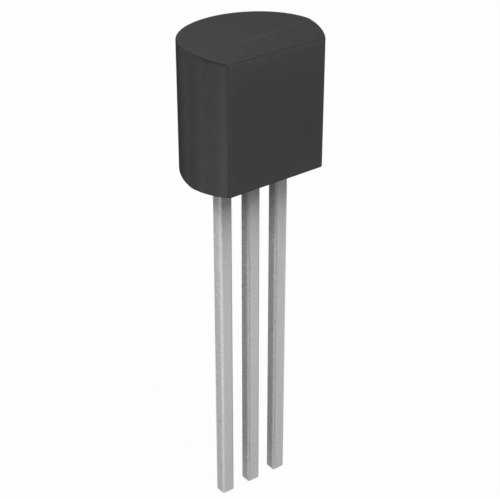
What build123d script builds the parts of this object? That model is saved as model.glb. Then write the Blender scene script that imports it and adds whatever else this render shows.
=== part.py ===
from build123d import *
import math
import os

os.makedirs("parts", exist_ok=True)

# Voltage reference in a TO-92 package: a drafted, D-shaped epoxy moulding around a stamped
# leadframe of three straight leads, with the die on the centre lead and two bond wires.
# Millimetres. +Z points up, away from the board, and the flat of the D faces -Y.
# The leads stand in the plane Y = 0, which is also the parting plane of the mould.
# The origin is where the centre lead's axis leaves the underside of the body.

# ---- moulded body ----
body_radius = 2.59  # round back, centred on the leads
flat_offset = 1.59  # from the lead plane to the flat face
body_height = 5.22  # at the parting plane, where the body is tallest
mould_draft = 4.0  # degrees, on the top and the underside of both mould halves
corner_radius = 0.11  # upright corners beside the flat
rim_radius = 0.06  # edges round the top and the underside

# ---- leads ----
lead_pitch = 1.27
lead_width = 0.55
lead_thickness = 0.5
lead_length = 14.3  # below the body
lead_edge_radius = 0.09  # long edges, rounded by stamping and plating
lead_tip_chamfer = 0.03  # edges of the sheared ends
lock_level = 0.9  # notches that key the leads into the epoxy
lock_radius = 0.1

# ---- leadframe inside the body ----
frame_top_cover = 1.15  # epoxy above the die pad
frame_side_cover = 0.54  # epoxy outside the bond posts
shoulder_height = 0.38  # taper from a lead to its pad or post
pad_margin = 0.2  # pad left free all round the die
pad_corner_radius = 0.12
post_height = 1.2

# ---- die and wires ----
die_width = 0.9
die_height = 1.1
die_thickness = 0.25
attach_thickness = 0.025
attach_fillet = 0.05  # attach layer squeezed out beyond the die
bond_inset = 0.12  # from the die's edge to the bond
ball_diameter = 0.09
ball_thickness = 0.025
wire_diameter = 0.038
loop_height = 0.28  # top of the wire above the die
loop_kink = 0.07  # the wire is kinked twice, this far before and beyond the loop's top corner
stitch_length = 0.13  # flattened end of the wire on its post
stitch_width = 0.076
stitch_thickness = 0.015

# ---- places that follow from those sizes ----
flat_half_width = math.sqrt(body_radius**2 - flat_offset**2)
mould_reach = 2 * body_radius  # the mould halves are drawn past the body on both sides
mould_rise = mould_reach * math.tan(math.radians(mould_draft))
pad_width = die_width + 2 * pad_margin
pad_height = die_height + 2 * pad_margin
pad_top = body_height - frame_top_cover
pad_bottom = pad_top - pad_height
die_level = pad_top - pad_height / 2
post_top = die_level + post_height / 2
post_bottom = die_level - post_height / 2
post_inner = lead_pitch - lead_width / 2
post_outer = body_radius - frame_side_cover
post_centre = (post_inner + post_outer) / 2
frame_front = lead_thickness / 2
attach_front = frame_front + attach_thickness
die_front = attach_front + die_thickness
bond_x = die_width / 2 - bond_inset
loop_top = die_front + loop_height
wire_slope = (loop_top - frame_front) / (post_centre - bond_x)
wire_overrun = 2 * wire_diameter  # drawn into the post, then trimmed flush with it

# Centre lead: a straight leg that widens through two shoulders to the die pad.
with BuildPart() as lead_centre:
    with BuildSketch(Plane.XY.offset(-lead_length)):
        RectangleRounded(lead_width, lead_thickness, lead_edge_radius)
    extrude(amount=lead_length + pad_bottom)
    chamfer(lead_centre.faces().sort_by(Axis.Z)[0].edges(), length=lead_tip_chamfer)
    with BuildSketch(Plane.XZ) as pad_outline:
        with BuildLine():
            Polyline(
                (-lead_width / 2, pad_bottom - shoulder_height),
                (lead_width / 2, pad_bottom - shoulder_height),
                (pad_width / 2, pad_bottom),
                (pad_width / 2, pad_top),
                (-pad_width / 2, pad_top),
                (-pad_width / 2, pad_bottom),
                close=True,
            )
        make_face()
        fillet(pad_outline.vertices().group_by(Axis.Z)[-1], radius=pad_corner_radius)
    extrude(amount=lead_thickness / 2, both=True)
    with BuildSketch(Plane.XZ):
        with Locations((-lead_width / 2, lock_level), (lead_width / 2, lock_level)):
            Circle(lock_radius)
    extrude(amount=lead_thickness, both=True, mode=Mode.SUBTRACT)

# Right lead: the same leg, with a bond post that spreads outwards beside the die pad.
with BuildPart() as lead_right:
    with BuildSketch(Plane.XY.offset(-lead_length)):
        with Locations((lead_pitch, 0)):
            RectangleRounded(lead_width, lead_thickness, lead_edge_radius)
    extrude(amount=lead_length + post_bottom)
    chamfer(lead_right.faces().sort_by(Axis.Z)[0].edges(), length=lead_tip_chamfer)
    with BuildSketch(Plane.XZ) as post_outline:
        with BuildLine():
            Polyline(
                (post_inner, post_bottom - shoulder_height),
                (lead_pitch + lead_width / 2, post_bottom - shoulder_height),
                (post_outer, post_bottom),
                (post_outer, post_top),
                (post_inner, post_top),
                close=True,
            )
        make_face()
        fillet(post_outline.vertices().group_by(Axis.Z)[-1], radius=pad_corner_radius)
    extrude(amount=lead_thickness / 2, both=True)
    with BuildSketch(Plane.XZ):
        with Locations((post_inner, lock_level), (post_inner + lead_width, lock_level)):
            Circle(lock_radius)
    extrude(amount=lead_thickness, both=True, mode=Mode.SUBTRACT)

with BuildPart() as lead_left:
    mirror(lead_right.part, about=Plane.YZ)

# Die attach: a thin layer on the front of the pad, a little larger than the die.
with BuildPart() as die_attach:
    with BuildSketch(Plane.XZ.offset(frame_front)):
        with Locations((0, die_level)):
            RectangleRounded(
                die_width + 2 * attach_fillet,
                die_height + 2 * attach_fillet,
                attach_fillet,
            )
    extrude(amount=attach_thickness)

with BuildPart() as die:
    with BuildSketch(Plane.XZ.offset(attach_front)):
        with Locations((0, die_level)):
            Rectangle(die_width, die_height)
    extrude(amount=die_thickness)

# Bond wire: a ball on the die, a loop that rises and slopes down, and a flattened stitch.
with BuildPart() as bond_wire_right:
    with BuildLine(Plane.XY.offset(die_level)) as loop:
        Polyline(
            (bond_x, -die_front),
            (bond_x, -loop_top + loop_kink),
            (bond_x + loop_kink, -loop_top + loop_kink * wire_slope),
            (post_centre + wire_overrun, -frame_front + wire_overrun * wire_slope),
        )
    with BuildSketch(Plane.XZ.offset(die_front)):
        with Locations((bond_x, die_level)):
            Circle(wire_diameter / 2)
    sweep(path=loop.wires()[0], transition=Transition.RIGHT)
    split(bisect_by=Plane.XZ.offset(frame_front), keep=Keep.TOP)
    with BuildSketch(Plane.XZ.offset(die_front)):
        with Locations((bond_x, die_level)):
            Circle(ball_diameter / 2)
    extrude(amount=ball_thickness)
    with BuildSketch(Plane.XZ.offset(frame_front)):
        with Locations((post_centre, die_level)):
            Ellipse(stitch_length / 2, stitch_width / 2)
    extrude(amount=stitch_thickness)

with BuildPart() as bond_wire_left:
    mirror(bond_wire_right.part, about=Plane.YZ)

# Body: the D-shaped plan, closed above and below by the drafted faces of the two mould halves,
# which meet in a faint ridge over the leads. The epoxy then fills in round every inner piece.
with BuildPart() as body:
    with BuildSketch() as plan:
        with BuildLine():
            ThreePointArc(
                (-flat_half_width, -flat_offset),
                (0, body_radius),
                (flat_half_width, -flat_offset),
            )
            Line((flat_half_width, -flat_offset), (-flat_half_width, -flat_offset))
        make_face()
        fillet(plan.vertices(), radius=corner_radius)
    extrude(amount=body_height)
    with BuildSketch(Plane.YZ):
        with BuildLine():
            Polyline(
                (-mould_reach, mould_rise),
                (0, 0),
                (mould_reach, mould_rise),
                (mould_reach, body_height - mould_rise),
                (0, body_height),
                (-mould_reach, body_height - mould_rise),
                close=True,
            )
        make_face()
    extrude(amount=mould_reach, both=True, mode=Mode.INTERSECT)
    rims = body.edges().filter_by(Axis.Z, reverse=True).filter_by(Axis.X, reverse=True)
    flat_rims = body.edges().filter_by(Axis.X).group_by(Axis.Y)[0]
    fillet(rims + flat_rims, radius=rim_radius)
    for piece in (
        lead_left,
        lead_centre,
        lead_right,
        die_attach,
        die,
        bond_wire_left,
        bond_wire_right,
    ):
        add(piece.part, mode=Mode.SUBTRACT)

body.part.label = "body"
lead_left.part.label = "lead_left"
lead_centre.part.label = "lead_centre"
lead_right.part.label = "lead_right"
die_attach.part.label = "die_attach"
die.part.label = "die"
bond_wire_left.part.label = "bond_wire_left"
bond_wire_right.part.label = "bond_wire_right"

export_step(body.part, "parts/body.step")
export_step(lead_left.part, "parts/lead_left.step")
export_step(lead_centre.part, "parts/lead_centre.step")
export_step(lead_right.part, "parts/lead_right.step")
export_step(die_attach.part, "parts/die_attach.step")
export_step(die.part, "parts/die.step")
export_step(bond_wire_left.part, "parts/bond_wire_left.step")
export_step(bond_wire_right.part, "parts/bond_wire_right.step")
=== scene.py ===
import math

import bmesh
import bpy
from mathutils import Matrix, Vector


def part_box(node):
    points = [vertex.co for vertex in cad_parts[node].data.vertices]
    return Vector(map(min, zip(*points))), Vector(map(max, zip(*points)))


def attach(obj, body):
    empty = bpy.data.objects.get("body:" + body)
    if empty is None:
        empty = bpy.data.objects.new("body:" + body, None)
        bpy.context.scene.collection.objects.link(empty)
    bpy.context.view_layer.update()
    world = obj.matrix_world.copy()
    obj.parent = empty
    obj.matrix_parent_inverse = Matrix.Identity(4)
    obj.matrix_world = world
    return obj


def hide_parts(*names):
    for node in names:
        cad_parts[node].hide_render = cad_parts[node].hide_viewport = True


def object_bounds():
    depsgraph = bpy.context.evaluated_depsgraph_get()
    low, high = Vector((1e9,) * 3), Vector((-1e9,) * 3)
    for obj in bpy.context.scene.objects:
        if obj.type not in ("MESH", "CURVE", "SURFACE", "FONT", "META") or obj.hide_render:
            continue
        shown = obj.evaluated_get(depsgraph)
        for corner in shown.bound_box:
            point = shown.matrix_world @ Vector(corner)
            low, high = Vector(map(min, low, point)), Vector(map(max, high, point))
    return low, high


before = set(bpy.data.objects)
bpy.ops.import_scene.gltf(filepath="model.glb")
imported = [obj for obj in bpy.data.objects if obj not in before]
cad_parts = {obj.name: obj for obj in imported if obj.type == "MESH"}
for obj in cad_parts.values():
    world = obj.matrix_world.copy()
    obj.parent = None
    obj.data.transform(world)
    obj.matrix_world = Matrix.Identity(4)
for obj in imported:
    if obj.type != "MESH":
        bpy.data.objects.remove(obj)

# A voltage reference in a TO-92 package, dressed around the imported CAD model.
# Everything is in metres, in the frame of the CAD: +Z up the leads, the flat of the D faces -Y.

MM = 0.001
cad_low, cad_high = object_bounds()

# ---- sizes read from the frame ----
body_low, body_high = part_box("body")
lead_low, lead_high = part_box("lead_centre")
radius = body_high.x
flat_offset = -body_low.y
height = body_high.z
lead_thickness = lead_high.y - lead_low.y

# ---- sizes that a box doesn't give ----
draft = math.radians(4.0)
corner_radius = 0.11 * MM
rim_radius = 0.06 * MM
lead_pitch = 1.27 * MM
lead_width = 0.55 * MM
lead_edge_radius = 0.09 * MM
lead_centres = (-lead_pitch, 0, lead_pitch)

# ---- finish of the moulding ----
crest_bow = 0.38 * MM  # the line where the mould halves meet on top bows towards the flat
crest_softness = 0.12 * MM  # the crest is rounded over about this far to each side
socket_depth = 0.4 * MM  # modelled depth of the holes that the leads leave through

# ---- steps of the moulding's mesh ----
ARC_STEPS = 18  # from the widest place round to an upright corner
CORNER_STEPS = 8  # round an upright corner
FLAT_STEPS = 20  # from a corner to the middle of the flat
RIM_STEPS = 6  # over a rim, from the wall to the top or the underside
CAP_STEPS = 8  # from the crest to the front edge or the back edge of the top
EDGE_STEPS = 6  # round a long edge of a lead


def plan_outline():
    """The D in plan, as points from the right end to the left end, along the front and the back.

    Each point is (x, y, r, angle): the surface lies r from (x, y) in the direction of the angle.
    Points with the same place in the two lists stand at the same x.
    """
    corner_y = corner_radius - flat_offset
    corner_x = math.sqrt((radius - corner_radius) ** 2 - corner_y**2)
    turn = math.atan2(-corner_y, corner_x)
    half = [(0, 0, radius, -turn * i / ARC_STEPS) for i in range(ARC_STEPS)]
    for i in range(CORNER_STEPS):
        angle = -turn - (math.pi / 2 - turn) * i / CORNER_STEPS
        half.append((corner_x, corner_y, corner_radius, angle))
    for i in range(FLAT_STEPS + 1):
        x = corner_x * (1 - i / FLAT_STEPS)
        half.append((x, corner_y, corner_radius, -math.pi / 2))
    mirrored = [(-x, y, r, math.pi - a) for x, y, r, a in reversed(half[:-1])]
    front = half + mirrored
    back = []
    for x, y, r, a in front:
        across = (x + r * math.cos(a)) / radius
        back.append((0, 0, radius, math.acos(max(-1.0, min(1.0, across)))))
    return front, back


def rim_ring(mesh, outline, share, top):
    """One ring of the rounded rim: share 0 lies on the wall, share 1 on the top or the underside."""
    ring = []
    for x, y, r, angle in outline:
        along_x, along_y = math.cos(angle), math.sin(angle)
        slope = math.atan(math.tan(draft) * abs(along_y))
        turn = share * (math.pi / 2 - slope)
        edge_y = y + (r - rim_radius) * along_y
        depth = math.tan(draft) * abs(edge_y) + rim_radius / math.cos(slope)
        depth -= rim_radius * math.sin(turn)
        reach = r - rim_radius * (1 - math.cos(turn))
        z = height - depth if top else depth
        ring.append(mesh.verts.new((x + reach * along_x, y + reach * along_y, z)))
    return ring


def join_rings(mesh, lower, upper):
    """A band of quads between two closed rings."""
    for i in range(len(lower)):
        j = (i + 1) % len(lower)
        mesh.faces.new((lower[i], lower[j], upper[j], upper[i]))


def top_column(mesh, front, back):
    """Vertices across the top at one station, from the front edge over the crest to the back edge."""
    x = front.co.x
    crest = Vector((x, -crest_bow * (1 - (x / radius) ** 2), height))

    def slope_points(edge):
        run = (edge.co - crest).to_2d().length
        full = math.hypot(run, crest_softness) - crest_softness
        points = []
        for i in range(1, CAP_STEPS):
            share = (i / CAP_STEPS) ** 2  # closer together near the crest
            fall = (math.hypot(run * share, crest_softness) - crest_softness) / full
            place = crest.lerp(edge.co, share)
            place.z = height + (edge.co.z - height) * fall
            points.append(mesh.verts.new(place))
        return points

    before = slope_points(front)
    after = slope_points(back)
    return [front, *reversed(before), mesh.verts.new(crest), *after, back]


def lead_half(mesh, centre, side):
    """The edge of one lead's hole in the underside, from left to right, on the side given by +1 or -1."""
    half_x = lead_width / 2
    half_y = lead_thickness / 2
    points = []
    for sign in (-1, 1):
        arc = []
        for i in range(EDGE_STEPS + 1):
            a = math.pi / 2 * i / EDGE_STEPS
            x = half_x - lead_edge_radius * (1 - math.cos(a))
            y = half_y - lead_edge_radius * (1 - math.sin(a))
            arc.append((centre + sign * x, side * y))
        points += arc if sign < 0 else reversed(arc)
    return [mesh.verts.new((x, y, math.tan(draft) * abs(y))) for x, y in points]


def make_moulding():
    """The epoxy body: drafted caps, rounded rims, and three blind holes in the underside for the leads."""
    mesh = bmesh.new()
    front, back = plan_outline()
    last = len(front) - 1
    outline = front + back[-2:0:-1]
    shares = [i / RIM_STEPS for i in range(RIM_STEPS + 1)]
    rings = [rim_ring(mesh, outline, share, False) for share in reversed(shares)]
    rings += [rim_ring(mesh, outline, share, True) for share in shares]
    for lower, upper in zip(rings, rings[1:]):
        join_rings(mesh, lower, upper)

    # top: columns of quads that run from the front edge over the crest to the back edge
    rim = rings[-1]
    columns = [top_column(mesh, rim[i], rim[-i]) for i in range(1, last)]
    for left, right in zip(columns, columns[1:]):
        for k in range(len(left) - 1):
            mesh.faces.new((left[k], left[k + 1], right[k + 1], right[k]))
    for tip, column in ((rim[0], columns[0]), (rim[last], columns[-1])):
        for k in range(len(column) - 1):
            mesh.faces.new((tip, column[k], column[k + 1]))

    # underside: two drafted faces that meet along Y = 0, notched round the leads
    rim = rings[0]
    middle = {}
    for centre in lead_centres:
        for sign in (-1, 1):
            x = centre + sign * lead_width / 2
            middle[centre, sign] = mesh.verts.new((x, 0, 0))
    walls = {centre: [] for centre in lead_centres}
    for side, edge in ((-1, rim[: last + 1]), (1, [rim[0], *reversed(rim[last:])])):
        border = []
        for centre in lead_centres:
            half = [middle[centre, -1], *lead_half(mesh, centre, side), middle[centre, 1]]
            border += half
            walls[centre].append(half)
        mesh.faces.new(border + edge)
    for before, after in walls.values():
        loop = before + after[-2:0:-1]
        roof = [mesh.verts.new((v.co.x, v.co.y, socket_depth)) for v in loop]
        join_rings(mesh, loop, roof)
        mesh.faces.new(roof)

    bmesh.ops.recalc_face_normals(mesh, faces=mesh.faces)
    for face in mesh.faces:
        face.smooth = True
    data = bpy.data.meshes.new("moulding")
    mesh.to_mesh(data)
    mesh.free()
    moulding = bpy.data.objects.new("moulding", data)
    bpy.context.scene.collection.objects.link(moulding)
    moulding.modifiers.new("even_shading", "WEIGHTED_NORMAL").keep_sharp = True
    return moulding


# ---- tables for the materials ----
# Each table holds (position, number) points with straight runs between them, and stays level
# beyond its ends. Unless a comment says otherwise, the positions are millimetres up from the
# body's underside on the leads, and millimetres down from the top on the body's walls.
# A tone picks the colour between a material's dark end (0) and its pale end (1), and a share
# scales that colour. A lead has two faces, front and back, and two sheared sides. Most added tones
# and shares below are painted light and shade.

# Where one kind of surface passes into the next, by the part of the normal along one axis.
# LEAD_FLATS holds for the faces and the sheared sides alike, up to their rounded edges.
UPRIGHT = ((0.1, 1.0), (0.4, 0.0))
LEVEL = ((0.9, 0.0), (0.99, 1.0))
FLAT = ((-0.95, 1.0), (-0.8, 0.0))
LEAD_FLATS = ((0.8, 0.0), (0.95, 1.0))

EPOXY_DARK = (0.026, 0.026, 0.026)
EPOXY_PALE = (0.0825, 0.0825, 0.0825)
EPOXY_GRAIN = 0.68  # tone between the darkest and the palest grain
EPOXY_GRAIN_ADDED_ON_TOP = 0.26
EPOXY_PATCHES = 0.06  # tone between the darkest and the palest patch
EPOXY_ROUGHNESS = (0.62, 0.76)
EPOXY_GRAIN_DEPTH = 0.0012 * MM

# Painted reflections and shade: added tone round the body, by degrees from the front, with pale bands of
# painted reflection and dark bands of painted shade. These bands fade towards the top.
FADING_BANDS = (
    (50.4, 0.0),
    (51.3, 0.1),
    (52, 0.0),
    (53, -0.06),
    (54, 0.08),
    (56.5, 0.22),
    (58.5, 0.19),
    (61, 0.11),
    (66, 0.04),
    (71, 0.055),
    (76, 0.11),
    (87, -0.05),
    (97, 0.0),
    (103, -0.16),
    (107, -0.11),
    (112, -0.08),
    (128, 0.05),
    (150, -0.04),
    (180, 0.03),
)
BAND_FADE = ((0.0, 1.5), (height / MM, 0.35))  # by millimetres above the underside
# The same painted reflections and shade for bands that don't fade. The first two are a painted
# highlight and a painted dark line of shade along the upright corners.
STEADY_BANDS = (
    (50.4, 0.0),
    (51.3, 0.02),
    (52.1, 0.02),
    (52.9, -0.13),
    (53.9, 0.0),
    (73, 0.0),
    (77, 0.035),
    (81, 0.01),
    (87, 0.02),
    (95, 0.11),
    (105, 0.1),
    (109, -0.07),
    (112, -0.16),
    (118, 0.0),
)
# Painted light and shade: added tone down the flat and down the front part of the round wall.
FLAT_LEVELS = (
    (0.06, 0.19),
    (0.16, 0.11),
    (0.4, 0.055),
    (1.2, 0.0),
    (3.8, 0.0),
    (4.6, 0.045),
    (4.9, 0.1),
)
WALL_LEVELS = ((0.06, -0.22), (0.1, -0.12), (0.15, -0.04), (1.4, -0.03), (2.4, 0.0), (5.0, 0.04))
WALL_LEVELS_END = ((80.0, 1.0), (92.0, 0.0))  # by degrees from the front
# Painted light on the top: added tone from front to back, from left to right, and a painted highlight near
# the round edge.
TOP_LEVELS = ((-1.6, -0.045), (-1.0, -0.015), (-0.6, -0.015), (0.2, 0.045))
TOP_ACROSS = ((-2.2, 0.08), (1.0, 0.0))
TOP_EDGE = ((2.42, 0.0), (2.5, 1.0))  # by millimetres from the centre lead's axis
TOP_EDGE_TONE = 0.08
# Added tone of the painted highlight along the crest of the top, from left to right.
CREST_LINE = ((-2.4, 0.0), (-1.2, 0.05), (-0.3, 0.16), (0.3, 0.16), (0.9, 0.09), (2.4, 0.07))
CREST_LINE_WIDTH = 0.2  # mm, to each side
# Tone taken off by the painted shade, a dark line on the rounded rim of the top, by how far the rim
# faces up: 0 is the wall and 1 is the top.
FLAT_RIM = ((0.5, 0.0), (0.75, 0.27), (0.93, 0.27), (0.985, 0.0))
ROUND_RIM = ((0.1, 0.0), (0.3, 0.28), (0.93, 0.44), (0.985, 0.0))
RIM_OFF_FLAT = ((-1.58, 0.0), (-1.45, 1.0))  # by millimetres from the front to the back
ROUND_RIM_FADE = ((77.0, 1.0), (91.0, 0.15))  # by degrees from the front

TIN_DARK = (0.312, 0.306, 0.302)
TIN_MIDDLE = (0.487, 0.487, 0.487)
TIN_PALE = (0.667, 0.667, 0.667)
TIN_GRAIN = 0.7  # tone between the darkest and the palest grain
TIN_ROUGHNESS = (0.44, 0.56)
TIN_GRAIN_DEPTH = 0.001 * MM
SHEAR_MARKS = 0.9  # tone between the darkest and the palest mark
SHEAR_MARKS_ADDED_IN_GAPS = 0.8
SHEARED = ((0.3, 0.0), (0.7, 1.0))  # by how far the surface faces sideways
GAP_BLEND = 0.05  # mm, to each side of the outer leads' middle
# Painted highlight on the outer long edges of the leads.
PAINTED_EDGE_HIGHLIGHT = ((0.1, 0.0), (0.45, 1.0))  # 0 is a face or a sheared side, 0.5 the middle of the edge
PAINTED_EDGE_HIGHLIGHT_TONE = 0.27
# Painted shade on the leads, darker towards the body.
LEAD_SHADE_UNDER_BODY = ((-2.0, 0.0), (-0.6, 1.0))
LEAD_SHADE_UNDER_BODY_TONE = -0.3

# Painted light and shade: added share along the faces, along the sheared sides, and on top of that
# along those sides that face another lead, where painted shade darkens them towards the body.
LEAD_FACES = (
    (-14.3, 0.0),
    (-12.0, 0.03),
    (-8.0, 0.09),
    (-4.0, 0.08),
    (-2.7, 0.04),
    (-2.2, 0.0),
    (-1.3, -0.02),
)
LEAD_SIDES = (
    (-14.3, -0.14),
    (-9.0, -0.06),
    (-5.5, -0.035),
    (-4.2, -0.01),
    (-3.7, 0.04),
    (-1.7, 0.05),
    (-1.45, 0.0),
    (-1.2, -0.09),
)
LEAD_GAPS = (
    (-14.3, 0.32),
    (-13.2, 0.12),
    (-12.4, -0.06),
    (-9.0, -0.065),
    (-5.5, -0.01),
    (-3.6, -0.03),
    (-2.75, -0.07),
    (-2.4, -0.22),
    (-1.9, -0.3),
    (-1.4, -0.425),
    (-1.1, -0.51),
)
# The painted shade in the gaps lies lower on the right lead.
GAP_DROP = ((0.3, 0.0), (0.9, 0.5))  # how far they lie lower, from the centre to the right lead
# Painted light: difference in share across a sheared side, darker at the back and lighter at the front.
SIDE_LIGHT_SPREAD = ((-14.3, 0.03), (-9.0, 0.05), (-6.0, 0.1), (-2.5, 0.19), (-1.2, 0.15))
SIDE_LIGHT_ACROSS = ((0.16, -0.5), (-0.16, 0.5))  # by millimetres from the back to the front
# Painted shade: added share where the leads leave the body, on the faces and the outer sides.
LEAD_ROOTS = ((-1.6, 0.0), (-1.35, -0.03), (-1.2, -0.09), (-1.05, -0.2), (-0.9, -0.33))
ROOTS_ON_SIDES = 0.75
ROOTS_FADE = ((0.3, 1.0), (0.9, 0.2))  # from the centre to the right lead
# Painted highlights and shade: added share round the long edges, from the sheared side (0) to the face
# (1), and its strength along the leads. Outer edges are those that face no other lead.
OUTER_EDGES = (
    (0.0, 0.0),
    (0.25, 0.08),
    (0.6, 0.0),
    (0.85, 0.08),
    (0.97, 0.2),
    (0.995, 0.25),
    (1.0, 0.0),
)
OUTER_EDGES_RISE = ((-14.3, 0.2), (-8.0, 1.0))
GAP_EDGES = (
    (0.0, 0.0),
    (0.08, 0.36),
    (0.4, 0.36),
    (0.6, 0.08),
    (0.8, -0.14),
    (0.93, -0.32),
    (0.99, -0.3),
    (1.0, 0.0),
)
GAP_EDGES_RISE = ((-14.3, 0.3), (-13.0, 1.0))
# The same near the body, where it takes the place of the one above.
GAP_EDGES_BY_BODY = (
    (0.0, 0.0),
    (0.08, 0.16),
    (0.4, 0.16),
    (0.6, -0.12),
    (0.8, -0.24),
    (0.93, -0.22),
    (0.99, -0.1),
    (1.0, 0.0),
)
BY_BODY = ((-3.6, 0.0), (-2.9, 1.0))
FRONT_HALF = ((0.0, 0.0), (-0.1, 1.0))  # by millimetres from the middle to the front

NOISE_RANGE = (0.3, 0.7)  # where most of a noise lies
MIDDLE = 0.5  # of a noise and of a tone

# ---- materials ----


class Nodes:
    """The node tree of a material or a world, with short calls to add and link nodes."""

    def __init__(self, owner):
        self.owner = owner
        owner.use_nodes = True
        self.tree = owner.node_tree
        self.shader = self.tree.nodes.get("Principled BSDF")

    def add(self, kind, **settings):
        node = self.tree.nodes.new(kind)
        for key, value in settings.items():
            setattr(node, key, value)
        return node

    def link(self, source, target):
        self.tree.links.new(source, target)

    def object_coordinates(self, stretch=(1, 1, 1)):
        """Coordinates in millimetres on the piece, stretched along its axes."""
        place = self.add("ShaderNodeTexCoord")
        mapping = self.add("ShaderNodeMapping")
        mapping.inputs["Scale"].default_value = [s / MM for s in stretch]
        self.link(place.outputs["Object"], mapping.inputs["Vector"])
        return mapping.outputs["Vector"]

    def surface_normal(self):
        """The piece's own normal, whichever way it is seen."""
        return self.add("ShaderNodeTexCoord").outputs["Normal"]

    def split(self, vector):
        node = self.add("ShaderNodeSeparateXYZ")
        self.link(vector, node.inputs["Vector"])
        return node.outputs["X"], node.outputs["Y"], node.outputs["Z"]

    def noise(self, vector, scale, detail=2.0, roughness=0.5):
        """Noise with features about 1 / scale millimetres across."""
        node = self.add("ShaderNodeTexNoise")
        node.inputs["Scale"].default_value = scale
        node.inputs["Detail"].default_value = detail
        node.inputs["Roughness"].default_value = roughness
        self.link(vector, node.inputs["Vector"])
        return node.outputs["Fac"]

    def math(self, operation, *values):
        node = self.add("ShaderNodeMath", operation=operation)
        for socket, value in zip(node.inputs, values):
            if isinstance(value, (int, float)):
                socket.default_value = value
            else:
                self.link(value, socket)
        return node.outputs["Value"]

    def unsigned(self, value):
        return self.math("ABSOLUTE", value)

    def line(self, value, start, end):
        """A number that runs straight between two (position, number) points, and is level beyond."""
        node = self.add("ShaderNodeMapRange")
        node.inputs["From Min"].default_value, node.inputs["To Min"].default_value = start
        node.inputs["From Max"].default_value, node.inputs["To Max"].default_value = end
        self.link(value, node.inputs["Value"])
        return node.outputs["Result"]

    def curve(self, value, points):
        """A number that follows a table of (position, number) points. Two points need one node."""
        if len(points) == 2:
            return self.line(value, *points)
        total = points[0][1]
        for (start, low), (end, high) in zip(points, points[1:]):
            total = self.math("ADD", total, self.line(value, (start, 0.0), (end, high - low)))
        return total

    def ramp(self, value, *stops):
        """A colour that passes through (position, colour) stops."""
        node = self.add("ShaderNodeValToRGB")
        elements = node.color_ramp.elements
        while len(elements) < len(stops):
            elements.new(0.5)
        for element, (position, colour) in zip(elements, stops):
            element.position = position
            element.color = (*colour, 1)
        self.link(value, node.inputs["Fac"])
        return node.outputs["Color"]

    def scale(self, colour, share):
        node = self.add("ShaderNodeVectorMath", operation="SCALE")
        self.link(colour, node.inputs[0])
        self.link(share, node.inputs["Scale"])
        return node.outputs["Vector"]

    def colour(self, colour):
        self.link(colour, self.shader.inputs["Base Color"])

    def roughness(self, grain, low, high):
        """Roughness that follows the grain."""
        least, most = NOISE_RANGE
        self.link(self.line(grain, (least, low), (most, high)), self.shader.inputs["Roughness"])

    def bump(self, value, depth):
        node = self.add("ShaderNodeBump")
        node.inputs["Distance"].default_value = depth
        self.link(value, node.inputs["Height"])
        self.link(node.outputs["Normal"], self.shader.inputs["Normal"])

    def seen_directly(self):
        """1 for rays from the camera and for rays in mirrors and glass, otherwise 0."""
        path = self.add("ShaderNodeLightPath")
        seen = self.math("MAXIMUM", path.outputs["Is Camera Ray"], path.outputs["Is Glossy Ray"])
        return self.math("MAXIMUM", seen, path.outputs["Is Transmission Ray"])


def new_material(name):
    return Nodes(bpy.data.materials.new(name))


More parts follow.
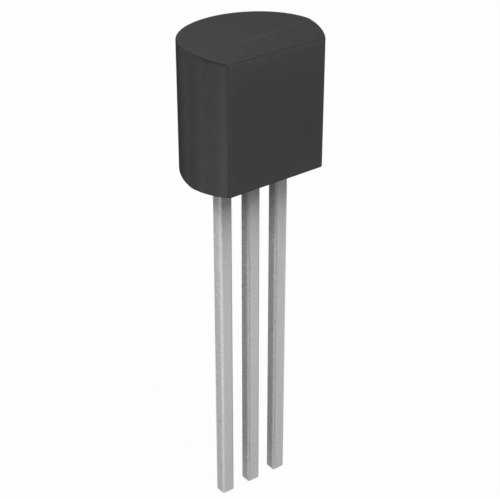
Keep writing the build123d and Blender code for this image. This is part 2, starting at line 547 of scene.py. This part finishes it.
def epoxy():
    m = new_material("epoxy_moulding_compound")
    place = m.object_coordinates()
    x, y, z = m.split(place)
    _, facing_back, facing_up = m.split(m.surface_normal())
    grain = m.noise(place, scale=20.0, roughness=0.7)
    patches = m.noise(place, scale=0.9)
    on_top = m.curve(facing_up, LEVEL)
    on_flat = m.curve(facing_back, FLAT)

    # painted reflections and shade in bands round the wall
    around = m.unsigned(m.math("ARCTAN2", x, m.math("MULTIPLY", y, -1.0)))
    around = m.math("DIVIDE", around, math.radians(1))
    steady = m.curve(around, STEADY_BANDS)
    bands = m.math("MULTIPLY_ADD", m.curve(around, FADING_BANDS), m.curve(z, BAND_FADE), steady)

    # painted light and shade in levels down the walls, below the drafted top
    depth = m.math("MULTIPLY_ADD", m.unsigned(y), -math.tan(draft), height / MM)
    depth = m.math("SUBTRACT", depth, z)
    flat_levels = m.math("MULTIPLY", m.curve(depth, FLAT_LEVELS), on_flat)
    front_wall = m.math("SUBTRACT", m.curve(around, WALL_LEVELS_END), on_flat)
    wall_levels = m.math("MULTIPLY", m.curve(depth, WALL_LEVELS), front_wall)
    walls = m.math("ADD", bands, m.math("ADD", flat_levels, wall_levels))
    walls = m.math("MULTIPLY", walls, m.curve(m.unsigned(facing_up), UPRIGHT))

    # painted light: the top is a little paler to the left, to the back and inside its round rim
    from_axis = m.math("SQRT", m.math("ADD", m.math("MULTIPLY", x, x), m.math("MULTIPLY", y, y)))
    top = m.math("MULTIPLY", m.curve(from_axis, TOP_EDGE), TOP_EDGE_TONE)
    top = m.math("ADD", top, m.curve(x, TOP_ACROSS))
    top = m.math("ADD", top, m.curve(y, TOP_LEVELS))
    top = m.math("MULTIPLY", top, on_top)

    # painted highlight along the crest of the top
    bow = m.math("MULTIPLY_ADD", m.math("MULTIPLY", x, x), crest_bow * MM / radius**2, -crest_bow / MM)
    off_crest = m.unsigned(m.math("SUBTRACT", y, bow))
    crest = m.line(off_crest, (0.0, 1.0), (CREST_LINE_WIDTH, 0.0))
    crest = m.math("MULTIPLY", crest, m.math("MULTIPLY", on_top, m.curve(x, CREST_LINE)))

    # painted shade, a darker line round the rim of the top, fainter along the flat and towards the back
    off_flat = m.curve(y, RIM_OFF_FLAT)
    round_share = m.math("MULTIPLY", off_flat, m.curve(around, ROUND_RIM_FADE))
    rim = m.math("MULTIPLY", m.curve(facing_up, FLAT_RIM), m.math("SUBTRACT", 1.0, off_flat))
    rim = m.math("MULTIPLY_ADD", m.curve(facing_up, ROUND_RIM), round_share, rim)

    # grain, a little stronger on the top, and faint patches
    strength = m.math("MULTIPLY_ADD", on_top, EPOXY_GRAIN_ADDED_ON_TOP, EPOXY_GRAIN)
    tone = m.math("MULTIPLY_ADD", m.math("SUBTRACT", grain, MIDDLE), strength, MIDDLE)
    tone = m.math("SUBTRACT", tone, EPOXY_PATCHES / 2)
    tone = m.math("MULTIPLY_ADD", patches, EPOXY_PATCHES, tone)
    for added in (walls, top, crest):
        tone = m.math("ADD", tone, added)
    tone = m.math("SUBTRACT", tone, rim)

    m.colour(m.ramp(tone, (0.0, EPOXY_DARK), (1.0, EPOXY_PALE)))
    m.roughness(grain, *EPOXY_ROUGHNESS)
    m.shader.inputs["Specular IOR Level"].default_value = 0.0
    m.bump(grain, EPOXY_GRAIN_DEPTH)
    return m.owner


def tin():
    m = new_material("satin_tin_plate")
    grain = m.noise(m.object_coordinates(stretch=(1, 1, 0.6)), scale=16.0, roughness=0.7)
    sheared = m.object_coordinates(stretch=(1, 0.35, 1))
    shear_marks = m.noise(sheared, scale=14.0, detail=3.0, roughness=0.7)
    x, y, z = m.split(m.object_coordinates())
    across, through, along = m.split(m.surface_normal())
    across = m.unsigned(across)
    through = m.unsigned(through)
    on_face = m.curve(through, LEAD_FLATS)
    on_side = m.curve(across, LEAD_FLATS)
    outer_lead = lead_pitch / MM
    in_gap = m.line(m.unsigned(x), (outer_lead - GAP_BLEND, 1.0), (outer_lead + GAP_BLEND, 0.0))
    outside = m.math("SUBTRACT", 1.0, in_gap)

    # satin grain, marks of the shears on the sides, a painted highlight on the outer edges, and painted
    # shade by the body
    tone = m.math("MULTIPLY_ADD", grain, TIN_GRAIN, (1 - TIN_GRAIN) / 2)
    marks = m.math("MULTIPLY", m.math("SUBTRACT", shear_marks, MIDDLE), m.curve(across, SHEARED))
    mark_strength = m.math("MULTIPLY_ADD", in_gap, SHEAR_MARKS_ADDED_IN_GAPS, SHEAR_MARKS)
    tone = m.math("MULTIPLY_ADD", marks, mark_strength, tone)
    painted_edge_highlight = m.math("MULTIPLY", m.curve(m.math("MULTIPLY", across, through), PAINTED_EDGE_HIGHLIGHT), outside)
    tone = m.math("MULTIPLY_ADD", painted_edge_highlight, PAINTED_EDGE_HIGHLIGHT_TONE, tone)
    tone = m.math("MULTIPLY_ADD", m.curve(z, LEAD_SHADE_UNDER_BODY), LEAD_SHADE_UNDER_BODY_TONE, tone)
    colour = m.ramp(tone, (0.0, TIN_DARK), (MIDDLE, TIN_MIDDLE), (1.0, TIN_PALE))

    # painted light and shade along the sheared sides, darker in the gaps and lighter towards the front
    gap_level = m.math("ADD", z, m.curve(x, GAP_DROP))
    sides = m.math("MULTIPLY_ADD", m.curve(gap_level, LEAD_GAPS), in_gap, m.curve(z, LEAD_SIDES))
    sides = m.math("MULTIPLY_ADD", m.curve(z, SIDE_LIGHT_SPREAD), m.curve(y, SIDE_LIGHT_ACROSS), sides)

    # painted highlights and shade round the long edges, in the gaps only on the front half
    outer_share = m.math("MULTIPLY", outside, m.curve(z, OUTER_EDGES_RISE))
    edges = m.math("MULTIPLY", m.curve(through, OUTER_EDGES), outer_share)
    by_body = m.curve(z, BY_BODY)
    off_body = m.math("SUBTRACT", m.curve(z, GAP_EDGES_RISE), by_body)
    gap_edges = m.math("MULTIPLY", m.curve(through, GAP_EDGES_BY_BODY), by_body)
    gap_edges = m.math("MULTIPLY_ADD", m.curve(through, GAP_EDGES), off_body, gap_edges)
    front_gap = m.math("MULTIPLY", in_gap, m.curve(y, FRONT_HALF))
    edges = m.math("MULTIPLY_ADD", gap_edges, front_gap, edges)
    edges = m.math("MULTIPLY", edges, m.curve(m.unsigned(along), UPRIGHT))

    # painted shade where the leads leave the body, faint on the right lead
    open_faces = m.math("MULTIPLY_ADD", m.math("MULTIPLY", on_side, outside), ROOTS_ON_SIDES, on_face)
    roots = m.math("MULTIPLY", m.curve(z, LEAD_ROOTS), m.curve(x, ROOTS_FADE))

    share = m.math("MULTIPLY_ADD", m.curve(z, LEAD_FACES), on_face, 1.0)
    share = m.math("MULTIPLY_ADD", sides, on_side, share)
    share = m.math("MULTIPLY_ADD", roots, open_faces, share)
    share = m.math("ADD", share, edges)

    m.colour(m.scale(colour, share))
    m.roughness(grain, *TIN_ROUGHNESS)
    m.shader.inputs["Specular IOR Level"].default_value = 0.2
    m.bump(grain, TIN_GRAIN_DEPTH)
    return m.owner


def silicon():
    m = new_material("polished_silicon")
    dark = (0.16, 0.17, 0.2)
    pale = (0.24, 0.25, 0.28)
    grain = m.noise(m.object_coordinates(), scale=9.0, detail=4.0)
    m.colour(m.ramp(grain, (0.35, dark), (0.65, pale)))
    m.roughness(grain, low=0.12, high=0.22)
    m.shader.inputs["Metallic"].default_value = 0.6
    return m.owner


def attach_resin():
    m = new_material("silver_filled_resin")
    dark = (0.42, 0.42, 0.43)
    pale = (0.66, 0.66, 0.67)
    flake_depth = 0.001 * MM
    flakes = m.noise(m.object_coordinates(), scale=60.0, detail=4.0, roughness=0.7)
    m.colour(m.ramp(flakes, (0.3, dark), (0.7, pale)))
    m.roughness(flakes, low=0.45, high=0.65)
    m.shader.inputs["Metallic"].default_value = 0.5
    m.bump(flakes, flake_depth)
    return m.owner


def gold():
    m = new_material("drawn_gold")
    dark = (0.79, 0.55, 0.21)
    pale = (0.87, 0.65, 0.3)
    streaks = m.noise(m.object_coordinates(stretch=(0.2, 1, 1)), scale=90.0)
    m.colour(m.ramp(streaks, (0.3, dark), (0.7, pale)))
    m.roughness(streaks, low=0.18, high=0.3)
    m.shader.inputs["Metallic"].default_value = 1.0
    return m.owner


def dress(node, material):
    """Gives a CAD node that stays a better material."""
    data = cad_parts[node].data
    data.materials.clear()
    data.materials.append(material)


moulding = make_moulding()
moulding.data.materials.append(epoxy())
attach(moulding, "root")
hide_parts("body")

tin_plate = tin()
for node in ("lead_left", "lead_centre", "lead_right"):
    dress(node, tin_plate)
dress("die", silicon())
dress("die_attach", attach_resin())
gold_wire = gold()
for node in ("bond_wire_left", "bond_wire_right"):
    dress(node, gold_wire)

# ---- floor and backdrop ----
floor_level = cad_low.z
floor_half = 0.6
FLOOR_STEPS = 8
FLOOR_GREY = 0.8
FLOOR_WHITE = 0.95  # share of plain white in what the camera sees; the rest keeps the shadow
WORLD_LIGHT = 0.096  # strength of the even light on the object, where 1 is white


def make_floor():
    """A pale sheet under the lead tips. It looks white and keeps the object's soft shadow."""
    mesh = bmesh.new()
    bmesh.ops.create_grid(mesh, x_segments=FLOOR_STEPS, y_segments=FLOOR_STEPS, size=floor_half)
    data = bpy.data.meshes.new("floor")
    mesh.to_mesh(data)
    mesh.free()
    floor = bpy.data.objects.new("floor", data)
    floor.location.z = floor_level
    bpy.context.scene.collection.objects.link(floor)

    m = new_material("white_floor")
    m.shader.inputs["Base Color"].default_value = (FLOOR_GREY, FLOOR_GREY, FLOOR_GREY, 1)
    m.shader.inputs["Roughness"].default_value = 0.9
    m.shader.inputs["Specular IOR Level"].default_value = 0.0
    glow = m.add("ShaderNodeEmission")
    glow.inputs["Strength"].default_value = 1.0
    mix = m.add("ShaderNodeMixShader")
    m.link(m.math("MULTIPLY", m.seen_directly(), FLOOR_WHITE), mix.inputs["Fac"])
    m.link(m.shader.outputs["BSDF"], mix.inputs[1])
    m.link(glow.outputs["Emission"], mix.inputs[2])
    m.link(mix.outputs["Shader"], m.tree.nodes["Material Output"].inputs["Surface"])
    data.materials.append(m.owner)


def make_world():
    """Even surrounding light. The camera, mirrors and glass see it as white."""
    world = bpy.data.worlds.new("studio")
    bpy.context.scene.world = world
    m = Nodes(world)
    background = m.tree.nodes["Background"]
    background.inputs["Color"].default_value = (1, 1, 1, 1)
    level = m.line(m.seen_directly(), (0.0, WORLD_LIGHT), (1.0, 1.0))
    m.link(level, background.inputs["Strength"])


make_floor()
make_world()

# ---- lamps ----
centre = (cad_low + cad_high) / 2
lamp_distance = 250 * MM

# Name, azimuth and elevation in degrees, size in millimetres, power in watts.
LAMPS = (
    ("left_key", -90, 35, 90, 0.21),
    ("left_low", -90, 22, 90, 0.048),
    ("front_high", 0, 60, 160, 0.456),
    ("front_low", 0, 8, 160, 0.024),
    ("top_fill", -90, 75, 160, 0.04),
    ("back_fill", 150, 30, 160, 0.084),
)


def direction(azimuth, elevation):
    """From the object towards a place at that azimuth, where 0 is -Y and 90 is +X."""
    a, e = math.radians(azimuth), math.radians(elevation)
    return Vector((math.sin(a) * math.cos(e), -math.cos(a) * math.cos(e), math.sin(e)))


def soft_lamp(name, azimuth, elevation, size, power):
    """A round soft box that faces the object."""
    data = bpy.data.lights.new(name, "AREA")
    data.shape = "DISK"
    data.size = size * MM
    data.energy = power
    lamp = bpy.data.objects.new(name, data)
    toward = direction(azimuth, elevation)
    lamp.location = centre + toward * lamp_distance
    lamp.rotation_euler = (-toward).to_track_quat("-Z", "Y").to_euler()
    bpy.context.scene.collection.objects.link(lamp)


for lamp in LAMPS:
    soft_lamp(*lamp)

# ---- camera: the photograph's viewing angle ----
view_azimuth = -36.38
view_elevation = 30.43
view_distance = 52.516 * MM
view_aim = Vector((-0.013, 0.01, -3.389)) * MM
focal_length = 100.69
sensor_width = 36.0

camera_data = bpy.data.cameras.new("camera")
camera_data.sensor_width = sensor_width
camera_data.lens = focal_length
camera_data.clip_start = 1 * MM
camera_data.clip_end = 10.0
camera = bpy.data.objects.new("camera", camera_data)
camera_back = direction(view_azimuth, view_elevation)
camera.location = view_aim + camera_back * view_distance
camera.rotation_mode = "QUATERNION"
camera.rotation_quaternion = (-camera_back).to_track_quat("-Z", "Y")
bpy.context.scene.collection.objects.link(camera)
bpy.context.scene.camera = camera

bpy.context.scene.view_settings.view_transform = "Standard"
